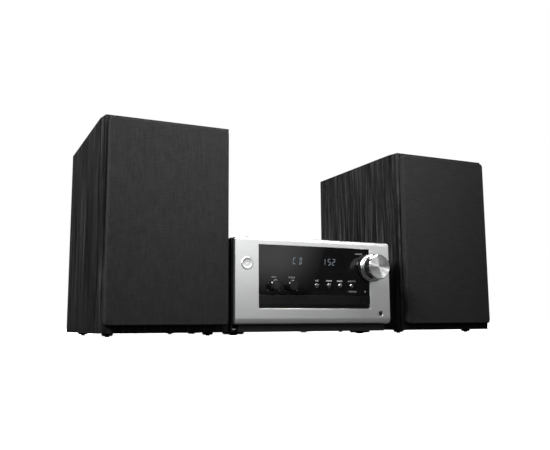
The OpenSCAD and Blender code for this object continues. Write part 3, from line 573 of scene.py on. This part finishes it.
SEGMENTS = {
    "top": ((0, 1), (1, 1)), "middle": ((0, 0.5), (1, 0.5)), "bottom": ((0, 0), (1, 0)),
    "upper_left": ((0, 0.5), (0, 1)), "upper_right": ((1, 0.5), (1, 1)),
    "lower_left": ((0, 0), (0, 0.5)), "lower_right": ((1, 0), (1, 0.5)),
    "upper_post": ((0.4, 0.5), (0.4, 1)), "lower_post": ((0.4, 0), (0.4, 0.5)),
}
DIGITS = {
    "C": ("top", "upper_left", "lower_left", "bottom"),
    "D": ("top", "upper_right", "lower_right", "bottom", "upper_post", "lower_post"),
    "1": ("upper_right", "lower_right"),
    "5": ("top", "upper_left", "middle", "lower_right", "bottom"),
    "2": ("top", "upper_right", "middle", "lower_left", "bottom"),
}


def display_digits():
    """Lit segments: a source name on the left and a track number and count on the right."""
    form = bmesh.new()
    width, height, line = 3.4 * MM, 7.2 * MM, 0.5 * MM
    gap, slant = 0.22 * MM, 0.09
    base = WINDOW_LOW.z + 36.2 * MM
    middle = (WINDOW_LOW.x + WINDOW_HIGH.x) / 2
    places = [("C", -31.1), ("D", -23.3), ("1", 8.9), ("5", 16.5), ("2", 22.5)]
    for glyph, left in places:
        for name in DIGITS[glyph]:
            (x0, z0), (x1, z1) = SEGMENTS[name]
            a = Vector((x0 * width, z0 * height))
            b = Vector((x1 * width, z1 * height))
            inward = (b - a).normalized() * gap
            a, b = a + inward, b - inward
            origin = Vector((middle + left * MM, base))
            lean_a = origin + a + Vector((slant * a.y, 0))
            lean_b = origin + b + Vector((slant * b.y, 0))
            stroke(form, lean_a, lean_b, line, PRINT_Y, PRINT_THICK)
    piece("display_digits", tidy_normals(form), "main_unit", "segments")


def lettering(text, x, z, size, y, facing_back):
    """A line of plain capitals as a mesh, centred on x, z, thin and standing in the XZ plane."""
    curve = bpy.data.curves.new("words", "FONT")
    curve.body = text
    curve.size = size
    curve.align_x = "CENTER"
    curve.align_y = "CENTER"
    curve.extrude = 0.01 * MM
    curve.space_character = 1.08
    words = bpy.data.objects.new("words", curve)
    bpy.context.scene.collection.objects.link(words)
    bpy.context.view_layer.update()
    mesh = bpy.data.meshes.new_from_object(words)
    bpy.data.objects.remove(words)
    stand = Matrix.Rotation(math.radians(90), 4, "X")
    if facing_back:
        stand = Matrix.Rotation(math.radians(180), 4, "Z") @ stand
    mesh.transform(Matrix.Translation((x, y, z)) @ stand)
    return mesh


def add_words(form, words, y, facing_back=False):
    """Adds each (text, x, z, size) to the form as lettering at that y."""
    for text, x, z, size in words:
        mesh = lettering(text, x, z, size, y, facing_back)
        form.from_mesh(mesh)
        bpy.data.meshes.remove(mesh)


def triangle(form, tip, base_x, half, front):
    plate(form, [(tip[0], tip[1]), (base_x, tip[1] + half), (base_x, tip[1] - half)], front, PRINT_THICK)


def bar(form, x, z, half, front, width=0.28 * MM):
    plate(form, [(x - width, z - half), (x + width, z - half), (x + width, z + half), (x - width, z + half)],
          front, PRINT_THICK)


def key_icons():
    """Play and pause, skip back and skip forward signs over the keys, and an eject sign."""
    form = bmesh.new()
    rise, half, step = 5.9 * MM, 1.0 * MM, 1.7 * MM
    play, back, forward = (centre(k) for k in KEYS[:3])
    z = play.z + rise
    triangle(form, (play.x - 0.1 * MM, z), play.x - 1.6 * MM, half, PRINT_Y)
    for shift in (0.9, 2.0):
        bar(form, play.x + shift * MM, z, half, PRINT_Y)
    for start in (-2.6, 0.9):
        for i in (0, 1):
            tip = back.x + start * MM + i * step
            triangle(form, (tip, z), tip + step, half, PRINT_Y)
            tip = forward.x - start * MM - i * step
            triangle(form, (tip, z), tip - step, half, PRINT_Y)
    bar(form, back.x - 3.0 * MM, z, half, PRINT_Y, 0.2 * MM)
    bar(form, forward.x + 3.0 * MM, z, half, PRINT_Y, 0.2 * MM)
    eject = centre("eject_button")
    left, right, z = eject.x - half, eject.x + half, WINDOW_LOW.z + 4.3 * MM
    under = (z - 0.7 * MM, z - 0.3 * MM)
    plate(form, [(left, z), (right, z), (eject.x, z + 1.2 * MM)], PRINT_Y, PRINT_THICK)
    plate(form, [(left, under[0]), (right, under[0]), (right, under[1]), (left, under[1])],
          PRINT_Y, PRINT_THICK)
    piece("key_icons", tidy_normals(form), "main_unit", "print")


def front_words():
    """Plain words printed on the window."""
    form = bmesh.new()
    size = 2.5 * MM
    words = [("VOLUME", VOLUME.x - 15.5 * MM, VOLUME.z + 17.0 * MM, size)]
    for node, text in (("bass_knob", "BASS"), ("treble_knob", "TREBLE")):
        knob = centre(node)
        words.append((text, knob.x + 0.6 * MM, knob.z + 9.4 * MM, size))
        for side, sign in ((-6.8, "-"), (8.2, "+")):
            words.append((sign, knob.x + side * MM, knob.z - 6.0 * MM, size * 1.2))
    selector = centre("selector_button")
    words.append(("SELECTOR", selector.x - 0.1 * MM, selector.z + 5.9 * MM, size * 0.92))
    words.append(("-  PAIRING", selector.x - 0.2 * MM, selector.z - 6.9 * MM, size * 1.1))
    add_words(form, words, PRINT_Y)
    piece("front_words", form, "main_unit", "legend")


def rear_words():
    """Plain words printed on the rear panel beside its sockets."""
    form = bmesh.new()
    size, above = 3.0 * MM, 3.5 * MM
    places = (("SPEAKERS", "speaker_sockets"), ("INPUT", "input_sockets"), ("AC IN", "ac_inlet"))
    words = [(text, centre(node).x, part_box(node)[1].z + above, size) for text, node in places]
    add_words(form, words, REAR_Y, facing_back=True)
    piece("rear_words", form, "main_unit", "print")


def power_sign():
    """The faint on and off sign in the power button's dished face."""
    form = bmesh.new()
    low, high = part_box("power_button")
    middle = ((low.x + high.x) / 2, (low.z + high.z) / 2)
    front, thick, width = low.y + 0.24 * MM, 0.06 * MM, 0.42 * MM
    ring_arc(form, middle, 2.1 * MM, width, 32, 328, front, thick)
    left, right = middle[0] - width / 2, middle[0] + width / 2
    foot, tip = middle[1] + 0.6 * MM, middle[1] + 2.6 * MM
    plate(form, [(left, foot), (right, foot), (right, tip), (left, tip)], front, thick)
    piece("power_sign", tidy_normals(form), "power_button", "engraving")


# ---------- Camera, light and floor ----------

LENS = 44.4
YAW, PITCH, ROLL = (math.radians(a) for a in (25.26, 8.25, 0.37))
EYE_FROM_FASCIA = Vector((-288.9, -718.8, 13.8)) * MM


def camera():
    """The photo's view: low down, from the left, looking up a little."""
    data = bpy.data.cameras.new("camera")
    data.sensor_width = 36
    data.lens = LENS
    data.clip_start, data.clip_end = 0.01, 60
    made = bpy.data.objects.new("camera", data)
    bpy.context.scene.collection.objects.link(made)
    ahead = Vector((math.sin(YAW) * math.cos(PITCH), math.cos(YAW) * math.cos(PITCH), math.sin(PITCH)))
    level = Vector((math.cos(YAW), -math.sin(YAW), 0))
    rise = level.cross(ahead)
    right = math.cos(ROLL) * level - math.sin(ROLL) * rise
    above = math.cos(ROLL) * rise + math.sin(ROLL) * level
    turn = Matrix((right, above, -ahead)).transposed().to_4x4()
    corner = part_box("front_panel")[0]
    eye = Vector((corner.x, corner.y, 0)) + EYE_FROM_FASCIA
    made.matrix_world = Matrix.Translation(eye) @ turn
    bpy.context.scene.camera = made


def softbox(name, at, aim, size, power, spread=180):
    """An area light of size (width, height), turned to face a point."""
    data = bpy.data.lights.new(name, "AREA")
    data.shape = "RECTANGLE"
    data.size, data.size_y = size
    data.energy = power
    data.spread = math.radians(spread)
    made = bpy.data.objects.new(name, data)
    bpy.context.scene.collection.objects.link(made)
    turn = (Vector(aim) - Vector(at)).to_track_quat("-Z", "Y").to_matrix().to_4x4()
    made.matrix_world = Matrix.Translation(at) @ turn
    made.visible_camera = False


CARD_Y, CARD_LEFT, CARD_FOOT, CARD_TOP = -1.5, -0.6, 0.05, 1.0
CARD_EDGE, CARD_SLANT = 0.675, 0.385
CARD_GLOW = 1.25


def window_card():
    """A glowing card that the window mirrors: it fades downwards and towards its slanting right edge."""
    form = bmesh.new()
    outline = ((CARD_LEFT, CARD_FOOT), (0.70, CARD_FOOT), (1.05, CARD_TOP), (CARD_LEFT, CARD_TOP))
    form.faces.new([form.verts.new((x, CARD_Y, z)) for x, z in outline])
    mesh = bpy.data.meshes.new("window_card")
    form.to_mesh(mesh)
    form.free()
    made = bpy.data.objects.new("window_card", mesh)
    bpy.context.scene.collection.objects.link(made)
    s = Shader("card_glow")
    xyz = s.nodes.new("ShaderNodeSeparateXYZ")
    s.links.new(s.place, xyz.inputs[0])
    edge = s.maths("MULTIPLY_ADD", xyz.outputs[2], CARD_SLANT, CARD_EDGE)
    inside = s.smooth(s.maths("SUBTRACT", edge, xyz.outputs[0]), -0.05, 0.17)
    height = s.smooth(xyz.outputs[2], 0.09, 0.24)
    glow = s.nodes.new("ShaderNodeEmission")
    s.links.new(s.maths("MULTIPLY", s.maths("MULTIPLY", inside, height), CARD_GLOW), glow.inputs["Strength"])
    s.links.new(glow.outputs[0], s.nodes["Material Output"].inputs["Surface"])
    made.data.materials.append(s.material)
    made.visible_camera = False


def studio_light():
    """Soft lights round the object. Each has a place, an aim, a size and a power."""
    softbox("overhead", (0.02, -0.36, 0.54), (-0.03, -0.1, 0.22), (0.46, 0.14), 2.9, spread=90)
    softbox("left_key", (-1.15, -0.65, 0.95), (-0.25, -0.05, 0.36), (0.5, 0.5), 13, spread=50)
    softbox("upper_band", (1.35, -1.5, 0.56), (1.35, 0.0, 0.56), (1.1, 0.3), 2.6)
    softbox("rear_fill", (0.4, 1.6, 1.2), (0, 0, 0.1), (1.5, 1.0), 14)
    softbox("right_fill", (1.6, 0.5, 0.9), (0.1, 0, 0.1), (1.0, 1.0), 5)
    window_card()


def white_room():
    """A white backdrop to the eye, and a dim grey one to the object."""
    world = bpy.data.worlds.new("room")
    bpy.context.scene.world = world
    world.use_nodes = True
    nodes, links = world.node_tree.nodes, world.node_tree.links
    nodes["Background"].inputs["Color"].default_value = (0.05, 0.05, 0.051, 1)
    white = nodes.new("ShaderNodeBackground")
    white.inputs["Color"].default_value = (1, 1, 1, 1)
    mix = nodes.new("ShaderNodeMixShader")
    links.new(nodes.new("ShaderNodeLightPath").outputs["Is Camera Ray"], mix.inputs["Fac"])
    links.new(nodes["Background"].outputs[0], mix.inputs[1])
    links.new(white.outputs[0], mix.inputs[2])
    links.new(mix.outputs[0], nodes["World Output"].inputs["Surface"])


def floor():
    """A pale floor that is white to the eye. To the object its colour is dark close by, as painted shade,
    and paler in front.
    """
    form = bmesh.new()
    reach = 12
    corners = ((-reach, -reach), (reach, -reach), (reach, reach), (-reach, reach))
    form.faces.new([form.verts.new((x, y, 0)) for x, y in corners])
    mesh = bpy.data.meshes.new("floor")
    form.to_mesh(mesh)
    form.free()
    made = bpy.data.objects.new("floor", mesh)
    bpy.context.scene.collection.objects.link(made)
    material = bpy.data.materials.new("pale_floor")
    material.use_nodes = True
    nodes, links = material.node_tree.nodes, material.node_tree.links
    base = nodes["Principled BSDF"]
    base.inputs["Base Color"].default_value = (0.86, 0.86, 0.86, 1)
    base.inputs["Roughness"].default_value = 0.9
    base.inputs["Specular IOR Level"].default_value = 0.0
    base.inputs["Emission Color"].default_value = (1, 1, 1, 1)
    base.inputs["Emission Strength"].default_value = 1.0
    dim = nodes.new("ShaderNodeBsdfDiffuse")
    depth = nodes.new("ShaderNodeSeparateXYZ")
    links.new(nodes.new("ShaderNodeTexCoord").outputs["Object"], depth.inputs[0])
    # Painted shade: to the object the floor's colour darkens close to it.
    painted_floor_shade = nodes.new("ShaderNodeMapRange")
    for socket, value in (("From Min", -0.4), ("From Max", -1.2), ("To Min", 0.03), ("To Max", 0.4)):
        painted_floor_shade.inputs[socket].default_value = value
    links.new(depth.outputs[1], painted_floor_shade.inputs["Value"])
    links.new(painted_floor_shade.outputs["Result"], dim.inputs["Color"])
    mix = nodes.new("ShaderNodeMixShader")
    links.new(nodes.new("ShaderNodeLightPath").outputs["Is Camera Ray"], mix.inputs["Fac"])
    links.new(dim.outputs[0], mix.inputs[1])
    links.new(base.outputs[0], mix.inputs[2])
    links.new(mix.outputs[0], nodes["Material Output"].inputs["Surface"])
    made.data.materials.append(material)


# ---------- The scene ----------

camera()
finish_nodes()
for side in SIDES:
    grille_cloth(side)
display_digits()
front_words()
key_icons()
rear_words()
power_sign()
floor()
white_room()
studio_light()
bpy.context.scene.view_settings.view_transform = "Standard"
